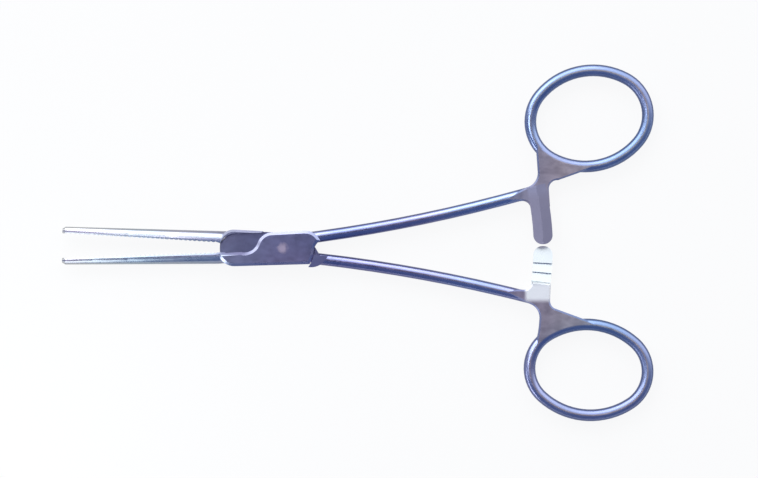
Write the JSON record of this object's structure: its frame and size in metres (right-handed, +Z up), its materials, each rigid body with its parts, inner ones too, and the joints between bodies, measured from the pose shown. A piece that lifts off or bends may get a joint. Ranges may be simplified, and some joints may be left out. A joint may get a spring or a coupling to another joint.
{
  "type": "hemostat forceps",
  "caption": "Straight box-lock hemostat forceps with cross-serrated jaws, slim shanks, facing ratchet arms and oval finger rings.",
  "frame": {"origin": "on the pivot axis, at the level of the surface the instrument lies on, which is the box lock's underside", "axes": "+X from the jaw tips to the finger rings, +Y towards the finger ring of the slotted half, +Z up along the pivot pin"},
  "size_m": [0.1396, 0.0842, 0.005],
  "materials": {
    "polished_steel": "polished",
    "pin_steel": "satin"
  },
  "bodies": {
    "slotted_half": {"female_half": "polished_steel", "pivot_pin": "pin_steel"},
    "inner_half": {"male_half": "polished_steel"}
  },
  "joints": [
    {"name": "box_lock", "type": "hinge", "parent": "slotted_half", "child": "inner_half", "pos_m": [0, 0, 0], "axis": [0, 0, -1], "range_deg": [-6.3, 48]}
  ]
}
